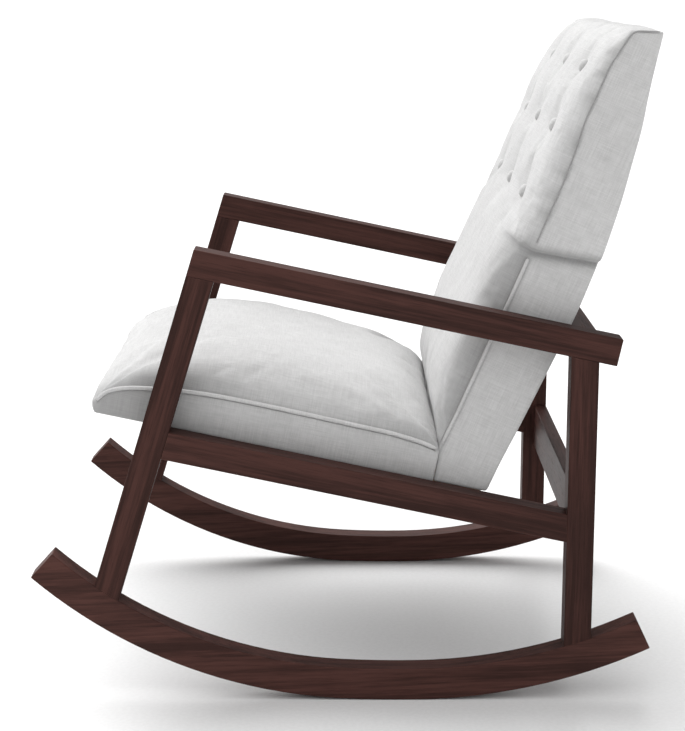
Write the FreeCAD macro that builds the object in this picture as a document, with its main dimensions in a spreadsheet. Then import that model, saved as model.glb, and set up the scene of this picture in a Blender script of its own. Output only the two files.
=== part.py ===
import FreeCAD, Part
import math
import os
import Sketcher
from FreeCAD import Placement, Rotation, Vector

# A wooden rocking chair with an upholstered seat and back.
# The sitter faces -Y, +Z is up, and the left side of the chair is +X.
# The origin is on the floor, in the middle of the chair's width and length.
# Lengths are in millimetres and angles in degrees.

DIMENSIONS = {
    # side frames
    "chair_width": 650,
    "member_thickness": 36,
    "member_depth": 38,
    "edge_radius": 1.6,
    "slope": 12,
    "lean": 17.2,
    "arm_height": 599.6,
    "arm_rear": 381.5,
    "rail_height": 338.1,
    "rail_depth": 39,
    "leg_foot": -396.3,
    "rear_leg_front": 311.5,
    # rockers: three tangent arcs, front, middle and rear
    "rocker_depth": 46,
    "front_radius": 700,
    "middle_radius": 1480,
    "rear_radius": 790,
    "front_blend": 3.1,
    "rear_blend": 1.2,
    "front_end": 42,
    "rear_end": 25.5,
    "contact": 78,
    # cross members
    "back_rail_top": 525,
    "back_rail_height": 40.5,
    "back_rail_depth": 35,
    "board_top": 280,
    "board_height": 69,
    "board_thickness": 20,
    "seat_support_top": -6,
    "seat_support_height": 32,
    "front_support": -235,
    "front_support_depth": 22,
    "rear_support": 118,
    "rear_support_depth": 58,
    # fasteners
    "dowel_diameter": 10,
    "leg_dowel_length": 40,
    "cross_dowel_length": 24,
    "leg_dowel_offset": 10,
    "support_dowel_offset": 8,
    "board_dowel_offset": 18,
    "hole_clearance": 0.2,
    "bolt_diameter": 6,
    "bolt_head_diameter": 11,
    "bolt_head_height": 4,
    "washer_diameter": 18,
    "washer_thickness": 1.5,
    "insert_diameter": 10,
    "insert_length": 16,
    "back_bolt_side": 200,
    "back_bolt_height": 499.5,
    "back_bolt_grip": 60,
    # seat, measured along the slope from the seat rail's top line
    "seat_width": 566,
    "seat_bottom": -4,
    "seat_nose": -354,
    "seat_rear": 130,
    "seat_top": 90,
    "seat_edge": 55,
    "crown_front": -185,
    "crown_rear": 60,
    "nose_height": 14,
    "nose_tuck": 9,
    "nose_radius": 190,
    "cover_wall": 3,
    "frame_width": 558,
    "frame_thickness": 20,
    "frame_top": 40,
    "frame_front": -300,
    "frame_rear": 200,
    "rear_bar": 105,
    "block_leg": 45,
    "block_height": 25,
    "spring_wire": 3.8,
    "spring_width": 50,
    "spring_pitch": 24,
    "spring_spacing": 100,
    "clip_width": 12,
    "clip_depth": 14,
    "felt_thickness": 1.4,
    "dust_cover_thickness": 1.2,
    "dust_cover_margin": 40,
    "welt_diameter": 5,
    # back, measured up the reclined front line from the crease at the seat
    "recline": 23.5,
    "crease_back": 137,
    "crease_up": 353,
    "back_bulge": 30,
    "back_depth": 93,
    "back_top_depth": 36,
    "back_top": 641,
    "step_front": 310,
    "step_rear": 332,
    "upper_width": 592,
    "back_foot_front": 9.3,
    "back_foot_rear": 84.3,
    "back_foot_drop": -44.5,
    "back_heel_drop": -28.5,
    "back_knee": 258,
    "upright_depth": 62,
    "bracket_thickness": 3,
    "bracket_width": 26,
    "bracket_height": 100,
    "strap_width": 50,
    "strap_thickness": 1.6,
    "wedge_width": 30,
    "wedge_height": 20,
    "button_diameter": 19,
    "button_height": 7,
    "button_spacing": 175,
    "button_row": 369,
    "button_rise": 96,
}

doc = FreeCAD.newDocument("rocking_chair")
sheet = doc.addObject("Spreadsheet::Sheet", "dims")
for row, (alias, size) in enumerate(DIMENSIONS.items(), start=1):
    sheet.set(f"A{row}", alias)
    sheet.set(f"B{row}", str(size))
    sheet.setAlias(f"B{row}", alias)
doc.recompute()

NODES = []


def number(formula):
    """The value of a formula in the sheet's dimensions."""
    return float(sheet.evalExpression(str(formula)))


def d(alias):
    """One dimension from the sheet."""
    return number(f"dims.{alias}")


def node(thing, name):
    """Names a finished sub-part, so that it is checked and exported."""
    thing.Label = name
    NODES.append(thing)
    return thing


# ---------------------------------------------------------------- local frames

UPRIGHT = Placement()


def seat_frame():
    """Y runs rearwards down the slope and Z stands square to it, from the seat rail's top line."""
    return Placement(Vector(0, 0, d("rail_height")), Rotation(Vector(1, 0, 0), -d("slope")))


def back_frame():
    """Z runs up the reclined front line of the back and Y runs rearwards through it."""
    origin = Vector(0, d("crease_back"), d("crease_up"))
    return Placement(origin, Rotation(Vector(1, 0, 0), -d("recline")))


SEAT = seat_frame()
BACK = back_frame()


# ---------------------------------------------------------------- sketch helpers

def arc_between(start, end, radius, turn):
    """The short arc from start to end. Its centre is on the left of the way there when turn is 1."""
    chord = end - start
    rise = math.sqrt(radius ** 2 - (chord.Length / 2) ** 2)
    left = Vector(-chord.y, chord.x, 0).normalize()
    centre = (start + end) * 0.5 + left * rise * turn
    first, last = (start, end) if turn > 0 else (end, start)
    angles = [math.atan2(p.y - centre.y, p.x - centre.x) for p in (first, last)]
    if angles[1] < angles[0]:
        angles[1] += 2 * math.pi
    return Part.ArcOfCircle(Part.Circle(centre, Vector(0, 0, 1), radius), *angles)


def draw_outline(sketch, corners):
    """Draws a closed outline through corners given as formulas: (x, y) begins a straight line and
    (x, y, radius, turn) begins an arc. Every corner and radius is bound to its formula."""
    points = [Vector(number(c[0]), number(c[1]), 0) for c in corners]
    ends = []
    for i, corner in enumerate(corners):
        start, end = points[i], points[(i + 1) % len(points)]
        if len(corner) == 2:
            sketch.addGeometry(Part.LineSegment(start, end), False)
            ends.append((1, 2))
        else:
            sketch.addGeometry(arc_between(start, end, number(corner[2]), corner[3]), False)
            ends.append((1, 2) if corner[3] > 0 else (2, 1))
    for i in range(len(corners)):
        j = (i + 1) % len(corners)
        sketch.addConstraint(Sketcher.Constraint("Coincident", i, ends[i][1], j, ends[j][0]))
    for i, corner in enumerate(corners):
        for kind, formula in zip(("DistanceX", "DistanceY"), corner):
            rule = Sketcher.Constraint(kind, -1, 1, i, ends[i][0], number(formula))
            index = sketch.addConstraint(rule)
            sketch.setExpression(f"Constraints[{index}]", str(formula))
        if len(corner) > 2:
            rule = Sketcher.Constraint("Radius", i, number(corner[2]))
            index = sketch.addConstraint(rule)
            sketch.setExpression(f"Constraints[{index}]", str(corner[2]))


def new_sketch(body, plane, name):
    """An empty sketch on one of the body's own origin planes."""
    sketch = body.newObject("Sketcher::SketchObject", name)
    origin_plane = [f for f in body.Origin.OriginFeatures if f.Role == plane][0]
    sketch.AttachmentSupport = [(origin_plane, "")]
    sketch.MapMode = "FlatFace"
    return sketch


def extruded(name, corners, length, centred=False):
    """A body whose YZ outline is padded along +X, or equally to both sides."""
    body = doc.addObject("PartDesign::Body", name)
    add_pad(body, name, corners, length, centred)
    return body


def add_pad(body, name, corners, length, centred):
    sketch = new_sketch(body, "YZ_Plane", f"{name}_outline")
    draw_outline(sketch, corners)
    pad = body.newObject("PartDesign::Pad", f"{name}_pad")
    pad.Profile = sketch
    pad.setExpression("Length", str(length))
    if centred:
        pad.SideType = "Symmetric"
    doc.recompute()
    return pad


def soften(body, radius, chosen):
    """Fillets the edges of the body's last feature that chosen accepts."""
    base = body.Tip
    names = [f"Edge{i}" for i, edge in enumerate(base.Shape.Edges, start=1) if chosen(edge)]
    fillet = body.newObject("PartDesign::Fillet", f"{body.Name}_edges")
    fillet.Base = (base, names)
    fillet.setExpression("Radius", str(radius))
    doc.recompute()


def long_edge(edge):
    return edge.Length > 100


def any_edge(edge):
    return True


# ---------------------------------------------------------------- side frames

TAN_SLOPE = "tan(dims.slope)"
TAN_LEAN = "tan(dims.lean)"
ARM_BOTTOM = "dims.arm_height - dims.member_depth / cos(dims.slope)"
RAIL_BOTTOM = "dims.rail_height - dims.rail_depth / cos(dims.slope)"
LEG_BACK = "dims.leg_foot + dims.member_depth / cos(dims.lean)"
REAR_LEG_BACK = "dims.rear_leg_front + dims.member_depth"
BACK_RAIL_FRONT = f"{REAR_LEG_BACK} - dims.back_rail_depth"


def on_slope(height, y):
    """The corner at y on the sloping line that passes over the origin at this height."""
    return (f"{y}", f"{height} - ({y}) * {TAN_SLOPE}")


def slope_meets_lean(height, foot):
    """The corner where a sloping line meets a front leg's leaning line, which starts at foot."""
    y = f"({foot} + ({height}) * {TAN_LEAN}) / (1 + {TAN_SLOPE} * {TAN_LEAN})"
    return on_slope(height, y)


def front_arc_centre():
    reach = "(dims.middle_radius - dims.front_radius)"
    return (
        f"(dims.contact - {reach} * sin(dims.front_blend))",
        f"(dims.middle_radius - {reach} * cos(dims.front_blend))",
    )


def rear_arc_centre():
    reach = "(dims.middle_radius - dims.rear_radius)"
    return (
        f"(dims.contact + {reach} * sin(dims.rear_blend))",
        f"(dims.middle_radius - {reach} * cos(dims.rear_blend))",
    )


def on_arc(centre, radius, angle):
    """The corner on an arc at this angle from straight down, positive to the rear."""
    return (f"{centre[0]} + ({radius}) * sin({angle})", f"{centre[1]} - ({radius}) * cos({angle})")


def rocker_corners():
    """Three tangent arcs along the floor side, and the same arcs one rocker depth above them."""
    middle = ("dims.contact", "dims.middle_radius")
    stations = [
        (front_arc_centre(), "dims.front_radius", "-dims.front_end"),
        (middle, "dims.middle_radius", "-dims.front_blend"),
        (middle, "dims.middle_radius", "dims.rear_blend"),
        (rear_arc_centre(), "dims.rear_radius", "dims.rear_end"),
    ]
    arcs = ["dims.front_radius", "dims.middle_radius", "dims.rear_radius"]
    corners = []
    for (centre, radius, angle), arc in zip(stations, arcs + [None]):
        corner = on_arc(centre, radius, angle)
        corners.append(corner + (arc, 1) if arc else corner)
    for (centre, radius, angle), arc in zip(reversed(stations), arcs[::-1] + [None]):
        corner = on_arc(centre, f"{radius} - dims.rocker_depth", angle)
        corners.append(corner + (f"{arc} - dims.rocker_depth", -1) if arc else corner)
    return corners


def arm_corners():
    """The front end follows the leg's front face and the rear end is square."""
    rear_top = on_slope("dims.arm_height", "dims.arm_rear")
    rear_bottom = (
        f"{rear_top[0]} - dims.member_depth * sin(dims.slope)",
        f"{rear_top[1]} - dims.member_depth * cos(dims.slope)",
    )
    return [
        slope_meets_lean(ARM_BOTTOM, "dims.leg_foot"),
        rear_bottom,
        rear_top,
        slope_meets_lean("dims.arm_height", "dims.leg_foot"),
    ]


def rail_corners():
    """The seat rail fills the gap between the two legs."""
    return [
        slope_meets_lean(RAIL_BOTTOM, LEG_BACK),
        on_slope(RAIL_BOTTOM, "dims.rear_leg_front"),
        on_slope("dims.rail_height", "dims.rear_leg_front"),
        slope_meets_lean("dims.rail_height", LEG_BACK),
    ]


def front_leg_corners():
    """The foot is cut to the rocker's curve and the top to the arm's underside."""
    centre = front_arc_centre()
    radius = "(dims.front_radius - dims.rocker_depth)"

    def foot(line):
        offset = f"(({centre[0]} - ({line}) - {centre[1]} * {TAN_LEAN}) * cos(dims.lean))"
        return on_arc(centre, radius, f"-(dims.lean * 1 deg + asin({offset} / {radius}))")

    return [
        foot("dims.leg_foot") + (radius, 1),
        foot(LEG_BACK),
        slope_meets_lean(ARM_BOTTOM, LEG_BACK),
        slope_meets_lean(ARM_BOTTOM, "dims.leg_foot"),
    ]


def rear_leg_corners():
    """The rear leg is upright, cut to the rocker's curve and the arm's underside."""
    centre = rear_arc_centre()
    radius = "(dims.rear_radius - dims.rocker_depth)"

    def foot(y):
        return on_arc(centre, radius, f"asin(({y} - {centre[0]}) / {radius})")

    return [
        foot("dims.rear_leg_front") + (radius, 1),
        foot(REAR_LEG_BACK),
        on_slope(ARM_BOTTOM, REAR_LEG_BACK),
        on_slope(ARM_BOTTOM, "dims.rear_leg_front"),
    ]


SIDE_MEMBERS = {
    "arm": (arm_corners, any_edge),
    "front_leg": (front_leg_corners, long_edge),
    "rear_leg": (rear_leg_corners, long_edge),
    "seat_rail": (rail_corners, long_edge),
    "rocker": (rocker_corners, any_edge),
}
SIDES = {"left": 1, "right": -1}


def make_side_members():
    """Both side frames: the same five members, placed flush with the chair's outer width."""
    members = {}
    for side, sign in SIDES.items():
        edge = d("chair_width") / 2 * sign
        start = edge - d("member_thickness") if sign > 0 else edge
        for kind, (corners, chosen) in SIDE_MEMBERS.items():
            body = extruded(f"{kind}_{side}_blank", corners(), "dims.member_thickness")
            soften(body, "dims.edge_radius", chosen)
            body.Placement = Placement(Vector(start, 0, 0), Rotation())
            members[f"{kind}_{side}"] = body
    return members


# ---------------------------------------------------------------- boxes and rods

def box(name, size, corner, frame=UPRIGHT):
    """A block with its lowest corner at this place in a local frame. Sizes are formulas."""
    block = doc.addObject("Part::Box", name)
    for side, formula in zip(("Length", "Width", "Height"), size):
        block.setExpression(side, str(formula))
    block.Placement = frame * Placement(Vector(*[number(c) for c in corner]), Rotation())
    doc.recompute()
    return block


def rod(name, diameter, length, start, direction):
    """A round bar from start along direction. The diameter and length are formulas."""
    bar = doc.addObject("Part::Cylinder", name)
    bar.setExpression("Radius", f"({diameter}) / 2")
    bar.setExpression("Height", str(length))
    bar.Placement = Placement(start, Rotation(Vector(0, 0, 1), direction))
    return bar


def group(name, members):
    """Separate solids kept together as one object."""
    bundle = doc.addObject("Part::Compound", name)
    bundle.Links = members
    doc.recompute()
    return bundle


def cut(name, base, tool):
    """base without the space that tool takes."""
    result = doc.addObject("Part::Cut", name)
    result.Base = base
    result.Tool = tool
    doc.recompute()
    return result


def make_cross_members():
    """The bars that join the two side frames, square between the members' inner faces."""
    inside = "dims.chair_width - 2 * dims.member_thickness"
    start = f"-({inside}) / 2"
    support_bottom = "dims.seat_support_top - dims.seat_support_height"
    sizes = {
        "upper_back_rail": (
            (inside, "dims.back_rail_depth", "dims.back_rail_height"),
            (start, BACK_RAIL_FRONT, "dims.back_rail_top - dims.back_rail_height"),
            UPRIGHT,
        ),
        "rear_cross_board": (
            (inside, "dims.board_thickness", "dims.board_height"),
            (start, f"{REAR_LEG_BACK} - dims.board_thickness", "dims.board_top - dims.board_height"),
            UPRIGHT,
        ),
        "front_seat_support": (
            (inside, "dims.front_support_depth", "dims.seat_support_height"),
            (start, "dims.front_support", support_bottom),
            SEAT,
        ),
        "rear_seat_support": (
            (inside, "dims.rear_support_depth", "dims.seat_support_height"),
            (start, "dims.rear_support", support_bottom),
            SEAT,
        ),
    }
    members = {}
    for name, (size, corner, frame) in sizes.items():
        block = box(f"{name}_blank", size, corner, frame)
        eased = doc.addObject("Part::Fillet", f"{name}_eased")
        eased.Base = block
        radius = d("edge_radius")
        edges = enumerate(block.Shape.Edges, start=1)
        eased.Edges = [(i, radius, radius) for i, edge in edges if long_edge(edge)]
        doc.recompute()
        members[name] = eased
    return members


# ---------------------------------------------------------------- dowels

def end_centre(shape, direction):
    """The middle of the end face that lies furthest along direction."""
    return max(shape.Faces, key=lambda face: face.CenterOfMass.dot(direction)).CenterOfMass


def dowel_pair(name, centre, direction, across, length, extra):
    """Two dowels set across a joint, half of each in either member. extra widens them into holes."""
    pair = []
    diameter = f"dims.dowel_diameter + {extra}"
    full_length = f"{length} + {extra}"
    for i, offset in enumerate((across, across * -1)):
        start = centre + offset - direction * (number(full_length) / 2)
        pair.append(rod(f"{name}_{i}", diameter, full_length, start, direction))
    return pair


def make_dowels(name, members, extra):
    """Every dowel of the frame: leg and rail ends within each side, and the cross members."""
    lean = Vector(0, math.sin(math.radians(d("lean"))), math.cos(math.radians(d("lean"))))
    slope = SEAT.Rotation.multVec(Vector(0, 1, 0))
    slope_up = SEAT.Rotation.multVec(Vector(0, 0, 1))
    up = Vector(0, 0, 1)
    rear = Vector(0, 1, 0)
    side_joints = {
        "front_leg": (lean, Vector(0, lean.z, -lean.y) * d("leg_dowel_offset")),
        "rear_leg": (up, rear * d("leg_dowel_offset")),
        "seat_rail": (slope, slope_up * d("leg_dowel_offset")),
    }
    cross_joints = {
        "upper_back_rail": rear * d("leg_dowel_offset"),
        "rear_cross_board": up * d("board_dowel_offset"),
        "front_seat_support": slope_up * d("support_dowel_offset"),
        "rear_seat_support": slope * d("board_dowel_offset"),
    }
    dowels = []
    for side in SIDES:
        for kind, (direction, across) in side_joints.items():
            shape = members[f"{kind}_{side}"].Shape
            for way in (direction, direction * -1):
                label = f"{name}_{kind}_{side}_{'end' if way is direction else 'foot'}"
                centre = end_centre(shape, way)
                dowels += dowel_pair(label, centre, way, across, "dims.leg_dowel_length", extra)
    for kind, across in cross_joints.items():
        for way in (Vector(1, 0, 0), Vector(-1, 0, 0)):
            label = f"{name}_{kind}_{'left' if way.x > 0 else 'right'}"
            centre = end_centre(members[kind].Shape, way)
            dowels += dowel_pair(label, centre, way, across, "dims.cross_dowel_length", extra)
    return group(name, dowels)


# ---------------------------------------------------------------- bolts, washers, inserts

def bolt_places():
    """Where each bolt's head bears, the way it goes in, its grip and where its insert starts."""
    up = SEAT.Rotation.multVec(Vector(0, 0, 1))
    side = (d("frame_width") - d("frame_thickness")) / 2
    below = d("seat_support_top") - d("seat_support_height")
    grip = d("seat_bottom") - below
    places = []
    for x in (side, -side):
        for y in (
            d("front_support") + d("front_support_depth") / 2,
            d("rear_support") + d("rear_support_depth") / 2,
        ):
            places.append((SEAT.multVec(Vector(x, y, below)), up, grip))
    rear_face = number(REAR_LEG_BACK)
    for x in (d("back_bolt_side"), -d("back_bolt_side")):
        bearing = Vector(x, rear_face, d("back_bolt_height"))
        places.append((bearing, Vector(0, -1, 0), d("back_bolt_grip")))
    return places


def make_bolts():
    """Hexagon-socket bolts with washers and threaded inserts, and the holes they need."""
    bolts, washers, inserts, holes = [], [], [], []
    for i, (bearing, way, grip) in enumerate(bolt_places()):
        washer_back = bearing - way * d("washer_thickness")
        head_start = washer_back - way * d("bolt_head_height")
        shank = f"{grip} + dims.insert_length + dims.washer_thickness + 4"
        head = rod(
            f"bolt_head_{i}", "dims.bolt_head_diameter", "dims.bolt_head_height", head_start, way
        )
        socket = rod(f"bolt_socket_{i}", "dims.bolt_diameter - 2", 2, head_start, way)
        stem = rod(f"bolt_stem_{i}", "dims.bolt_diameter", shank, washer_back, way)
        whole = doc.addObject("Part::Fuse", f"bolt_whole_{i}")
        whole.Base = head
        whole.Tool = stem
        bolts.append(cut(f"bolt_{i}", whole, socket))
        bore = "dims.bolt_diameter + dims.hole_clearance"
        washer = rod(
            f"washer_disc_{i}", "dims.washer_diameter", "dims.washer_thickness", washer_back, way
        )
        washer_bore = rod(f"washer_bore_{i}", bore, "dims.washer_thickness", washer_back, way)
        washers.append(cut(f"washer_{i}", washer, washer_bore))
        seat = bearing + way * grip
        sleeve = rod(f"insert_sleeve_{i}", "dims.insert_diameter", "dims.insert_length", seat, way)
        sleeve_bore = rod(f"insert_bore_{i}", bore, "dims.insert_length", seat, way)
        inserts.append(cut(f"insert_{i}", sleeve, sleeve_bore))
        holes.append(rod(f"shank_hole_{i}", bore, f"{shank} + 2", washer_back, way))
        pocket = "dims.insert_diameter + dims.hole_clearance"
        holes.append(rod(f"insert_hole_{i}", pocket, "dims.insert_length + 0.5", seat, way))
    return (
        group("bolts", bolts),
        group("washers", washers),
        group("inserts", inserts),
        group("bolt_holes", holes),
    )


# ---------------------------------------------------------------- seat

def seat_corners(inset):
    """The seat's side outline, from the bottom of the nose round the rear. inset moves it inwards."""
    return [
        (f"dims.seat_nose + dims.nose_tuck + {inset}", "dims.seat_bottom"),
        ("dims.seat_rear", "dims.seat_bottom"),
        ("dims.seat_rear", f"dims.seat_edge - {inset} * 1.1"),
        ("dims.crown_rear", f"dims.seat_top - 4 - {inset}"),
        ("dims.crown_front", f"dims.seat_top - {inset}", f"dims.nose_radius - {inset}", 1),
        (f"dims.seat_nose + {inset}", "dims.nose_height"),
    ]


def seat_core_corners():
    """The hollow of the seat cover, which is open underneath and at the rear."""
    corners = seat_corners("dims.cover_wall")
    corners[0] = (corners[0][0], "dims.seat_bottom - 10")
    corners[1] = ("dims.seat_rear + 10", "dims.seat_bottom - 10")
    corners[2] = ("dims.seat_rear + 10", "dims.seat_edge - 7.5")
    return corners


def seat_foam_corners():
    """The foam lies over the springs and turns down in front of the frame's front bar."""
    inset = "(dims.cover_wall + 1)"
    corners = seat_corners(inset)
    front = "dims.frame_front - 0.5"
    corners[1:3] = [
        (front, "dims.seat_bottom"),
        (front, "dims.frame_top + 8.2"),
        ("dims.seat_rear - 4", "dims.frame_top + 8.2"),
        ("dims.seat_rear - 4", "dims.seat_edge - 3"),
    ]
    return corners


def upper_side_edge(edge):
    """A long edge between a side face and the padded top or nose of the seat."""
    box_of_edge = edge.BoundBox
    flat = box_of_edge.XLength < 0.01
    upper = box_of_edge.ZMax > 60 and box_of_edge.YLength > 60
    return flat and upper


def make_seat_soft_parts():
    """The fabric cover as a shell, and the foam that fills its top and nose."""
    outer = extruded("seat_outer", seat_corners("0"), "dims.seat_width", True)
    soften(outer, 16, upper_side_edge)
    core = extruded("seat_core", seat_core_corners(), "dims.seat_width - 2 * dims.cover_wall", True)
    soften(core, 13, upper_side_edge)
    cover = cut("seat_cover_shell", outer, core)
    cover.Placement = SEAT
    width = "dims.seat_width - 2 * (dims.cover_wall + 1)"
    foam = extruded("seat_foam_slab", seat_foam_corners(), width, True)
    soften(foam, 14, upper_side_edge)
    foam.Placement = SEAT
    node(cover, "seat_cover")
    node(foam, "seat_foam")


def make_seat_frame(holes):
    """Four hardwood bars with a block screwed into each corner."""
    height = "dims.frame_top - dims.seat_bottom"
    left = "dims.frame_width / 2 - dims.frame_thickness"
    between = "dims.frame_width - 2 * dims.frame_thickness"
    side_start = "dims.frame_front + dims.frame_thickness"
    for side, x in (("left", left), ("right", "-dims.frame_width / 2")):
        size = ("dims.frame_thickness", f"dims.frame_rear - ({side_start})", height)
        bar = box(f"seat_side_{side}", size, (x, side_start, "dims.seat_bottom"), SEAT)
        node(cut(f"seat_side_{side}_drilled", bar, holes), f"seat_frame_side_{side}")
    front_size = ("dims.frame_width", "dims.frame_thickness", height)
    front_corner = ("-dims.frame_width / 2", "dims.frame_front", "dims.seat_bottom")
    node(box("seat_front_bar", front_size, front_corner, SEAT), "seat_frame_front")
    rear_size = (between, "dims.frame_thickness", height)
    rear_corner = (f"-({between}) / 2", "dims.rear_bar", "dims.seat_bottom")
    node(box("seat_rear_bar", rear_size, rear_corner, SEAT), "seat_frame_rear")
    node(make_corner_blocks(), "seat_corner_blocks")


def make_corner_blocks():
    """Four triangular blocks glued inside the corners of the seat frame."""
    leg = d("block_leg")
    inner = d("frame_width") / 2 - d("frame_thickness")
    front = d("frame_front") + d("frame_thickness")
    rear = d("rear_bar")
    corners = [(-inner, front, 0), (inner, front, 90), (inner, rear, 180), (-inner, rear, 270)]
    blocks = []
    for i, (x, y, turn) in enumerate(corners):
        block = doc.addObject("Part::Wedge", f"corner_block_{i}")
        block.Xmin = block.Ymin = block.Zmin = 0
        block.X2min = block.X2max = block.Z2min = 0
        block.Xmax = block.Ymax = leg
        block.Zmax = block.Z2max = d("block_height")
        spin = Rotation(Vector(0, 0, 1), turn)
        block.Placement = SEAT * Placement(Vector(x, y, d("seat_bottom") + 4), spin)
        blocks.append(block)
    return group("corner_blocks", blocks)


def spring_points():
    """The bends of one zigzag spring, from the front bar to the rear bar."""
    first = d("frame_front") + d("frame_thickness") / 2
    last = d("rear_bar") + d("frame_thickness") / 2
    bends = int((last - first) // d("spring_pitch"))
    pitch = (last - first) / bends
    return first, pitch, bends


def spring_height():
    """The wire's middle, just clear of the frame it rests on."""
    return d("frame_top") + 0.3 + d("spring_wire") / 2


def make_spring(i, x):
    """A zigzag spring: cross wires joined by half circles, swept by a round wire."""
    first, pitch, bends = spring_points()
    half = d("spring_width") / 2 - pitch / 2
    height = spring_height()
    edges = []
    for row in range(bends + 1):
        y = first + row * pitch
        side = 1 if row % 2 == 0 else -1
        start = Vector(x + side * half, y, height)
        edges.append(Part.makeLine(Vector(x - side * half, y, height), start))
        if row < bends:
            top = Vector(x + side * (half + pitch / 2), y + pitch / 2, height)
            end = Vector(x + side * half, y + pitch, height)
            edges.append(Part.Arc(start, top, end).toShape())
    path = Part.Wire(edges)
    section = Part.Wire(
        Part.makeCircle(d("spring_wire") / 2, Vector(x - half, first, height), Vector(1, 0, 0))
    )
    spring = doc.addObject("Part::Feature", f"spring_{i}")
    spring.Shape = path.makePipeShell([section], True, True)
    spring.Placement = SEAT
    return spring


def make_clip(name, x, y):
    """A folded steel clip, as a plate with a groove for the end wire."""
    size = ("dims.clip_width", "dims.clip_depth", "dims.spring_wire + 1.8")
    corner = (x - d("clip_width") / 2, y - d("clip_depth") / 2, "dims.frame_top")
    plate = box(f"{name}_plate", size, corner, SEAT)
    start = SEAT.multVec(Vector(x - d("clip_width"), y, spring_height()))
    along = SEAT.Rotation.multVec(Vector(1, 0, 0))
    groove = rod(f"{name}_groove", "dims.spring_wire + 0.4", "dims.clip_width * 2", start, along)
    return cut(name, plate, groove)


def make_springs():
    """Five zigzag springs, and the steel clips that hold their ends on the frame."""
    first, pitch, bends = spring_points()
    springs, clips = [], []
    for i in range(5):
        x = (i - 2) * d("spring_spacing")
        springs.append(make_spring(i, x))
        clips.append(make_clip(f"clip_{i}_front", x, first))
        clips.append(make_clip(f"clip_{i}_rear", x, first + bends * pitch))
    node(group("springs", springs), "seat_springs")
    node(group("clips", clips), "seat_spring_clips")


def make_seat_sheets(holes):
    """The felt sheet over the springs and the dust cover under the whole seat."""
    felt_width = "dims.frame_width - 40"
    felt_start = "dims.frame_front + 2"
    felt_size = (felt_width, f"dims.seat_rear - 6 - ({felt_start})", "dims.felt_thickness")
    felt_corner = (f"-({felt_width}) / 2", felt_start, "dims.frame_top + 6.3")
    node(box("seat_felt", felt_size, felt_corner, SEAT), "seat_spring_felt")
    width = "dims.seat_width - dims.dust_cover_margin"
    start = "dims.seat_nose + dims.dust_cover_margin"
    size = (width, f"dims.frame_rear - ({start})", "dims.dust_cover_thickness")
    corner = (f"-({width}) / 2", start, "dims.seat_bottom - dims.dust_cover_thickness - 0.2")
    sheet_box = box("dust_sheet", size, corner, SEAT)
    node(cut("dust_sheet_drilled", sheet_box, holes), "dust_cover")


# ---------------------------------------------------------------- back

def back_lower_corners(inset):
    """The lower back between the arms: front bulge, reclined rear face, bottom on the seat's plane."""
    return [
        ("dims.back_foot_front", "dims.back_foot_drop"),
        (f"dims.back_foot_rear - {inset}", "dims.back_heel_drop"),
        (f"dims.back_depth - {inset}", "dims.back_knee"),
        (f"dims.back_depth - 3 - {inset}", "dims.step_rear"),
        (f"-dims.back_bulge + {inset}", "dims.step_front"),
        (f"-dims.back_bulge + {inset}", "120"),
        (f"0.8 + {inset}", "0"),
    ]


def back_upper_corners(inset):
    """The wider upper back, which thins towards a flat top."""
    return [
        (f"-dims.back_bulge + {inset}", "dims.step_front - 4"),
        (f"dims.back_depth - 3 - {inset}", "dims.step_rear - 4"),
        (f"dims.back_top_depth - {inset}", f"dims.back_top - {inset}"),
        (f"-3 + {inset}", f"dims.back_top - 15 - {inset}"),
        (f"2 - dims.back_bulge + {inset}", "560"),
    ]


def back_core_corners():
    """The hollow of the lower back cover, open below and where the seat frame enters."""
    corners = back_lower_corners("dims.cover_wall")
    corners[0:2] = [
        ("-9", "-1"),
        ("-9", "-60"),
        ("100", "-60"),
        ("dims.back_foot_rear - dims.cover_wall", "dims.back_heel_drop"),
    ]
    corners[-1] = ("5", "-1")
    return corners


def two_step_body(name, lower, upper, inset):
    """A body made of the narrow lower form and the wide upper form."""
    body = extruded(f"{name}_lower", lower, f"dims.seat_width - 2 * {inset}", True)
    add_pad(body, f"{name}_upper", upper, f"dims.upper_width - 2 * {inset}", True)
    return body


def make_back_soft_parts(holes):
    """The fabric cover as a shell, and the foam slab that fills its front."""
    outer = two_step_body("back_outer", back_lower_corners("0"), back_upper_corners("0"), "0")
    wall = "dims.cover_wall"
    core = two_step_body("back_core", back_core_corners(), back_upper_corners(wall), wall)
    shell = cut("back_cover_shell", outer, core)
    shell.Placement = BACK
    node(cut("back_cover_drilled", shell, holes), "back_cover")

    gap = "(dims.cover_wall + 0.4)"
    rear = upright_front("+ 3.2")
    lower = [
        ("2", "14"),
        (rear[0][0], "14"),
        rear[1],
        ("-dims.back_bulge + dims.cover_wall + 0.4", "dims.step_front"),
        ("-dims.back_bulge + dims.cover_wall + 0.4", "120"),
    ]
    upper = [
        ("-dims.back_bulge + dims.cover_wall + 0.4", "dims.step_front"),
        rear[1],
        rear[2],
        (f"-3 + {gap}", f"dims.back_top - 15 - {gap}"),
        (f"2 - dims.back_bulge + {gap}", "560"),
    ]
    foam = two_step_body("back_foam", lower, upper, gap)
    foam.Placement = BACK
    node(foam, "back_foam")


def upright_front(shift="+ 0"):
    """The front line of the back's uprights, from the bottom to the top. shift moves it forwards."""
    front = f"dims.back_depth - 6 - dims.upright_depth - (0 {shift})"
    return [
        (front, "9"),
        (front, "dims.step_rear"),
        (f"9 - (0 {shift})", "618"),
    ]


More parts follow.
